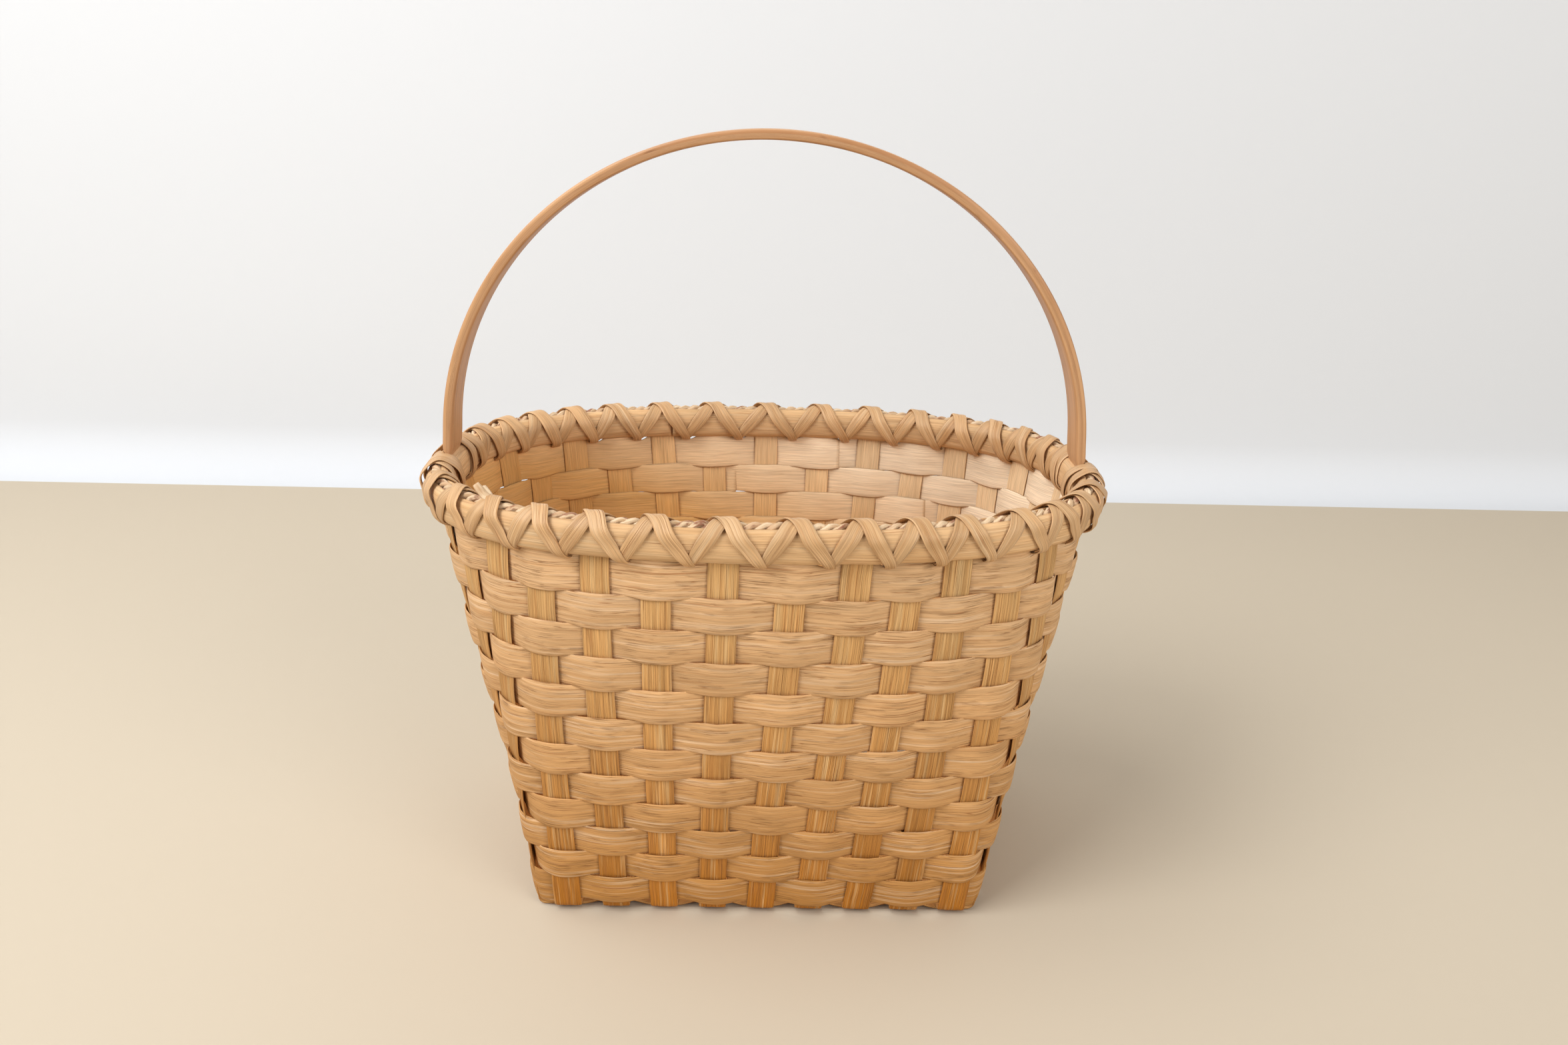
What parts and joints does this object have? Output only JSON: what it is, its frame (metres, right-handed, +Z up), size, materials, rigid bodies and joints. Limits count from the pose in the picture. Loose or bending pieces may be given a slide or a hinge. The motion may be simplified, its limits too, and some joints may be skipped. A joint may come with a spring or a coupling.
{
  "type": "gathering basket",
  "caption": "Gathering basket woven of flat reed, with a rectangular base, an oval lashed rim and a fixed bent-wood arch handle.",
  "frame": {"origin": "on the ground under the middle of the base", "axes": "+X along the basket and its handle, +Z up, the front towards -Y"},
  "size_m": [0.32, 0.2126, 0.3555],
  "materials": {
    "stake_reed": "satin",
    "weaver_reed": "satin",
    "rim_reed": "satin",
    "lash_reed": "satin",
    "seagrass": "matt",
    "handle_wood": "satin"
  },
  "bodies": {
    "root": {"cross_stake_1": "stake_reed", "cross_stake_2": "stake_reed", "cross_stake_3": "stake_reed", "cross_stake_4": "stake_reed", "cross_stake_5": "stake_reed", "cross_stake_6": "stake_reed", "cross_stake_7": "stake_reed", "cross_stake_8": "stake_reed", "cross_stake_9": "stake_reed", "long_stake_1": "stake_reed", "long_stake_2": "stake_reed", "long_stake_3": "stake_reed", "long_stake_4": "stake_reed", "long_stake_5": "stake_reed", "long_stake_6": "stake_reed", "long_stake_7": "stake_reed", "long_stake_8": "stake_reed", "long_stake_9": "stake_reed", "weaver_00": "weaver_reed", "weaver_01": "weaver_reed", "weaver_02": "weaver_reed", "weaver_03": "weaver_reed", "weaver_04": "weaver_reed", "weaver_05": "weaver_reed", "weaver_06": "weaver_reed", "weaver_07": "weaver_reed", "weaver_08": "weaver_reed", "weaver_09": "weaver_reed", "weaver_10": "weaver_reed", "weaver_11": "weaver_reed", "weaver_12": "weaver_reed", "rim_outer": "rim_reed", "rim_inner": "rim_reed", "lashing_right": "lash_reed", "lashing_left": "lash_reed", "seagrass_back": "seagrass", "seagrass_front": "seagrass", "handle": "handle_wood"}
  },
  "joints": []
}
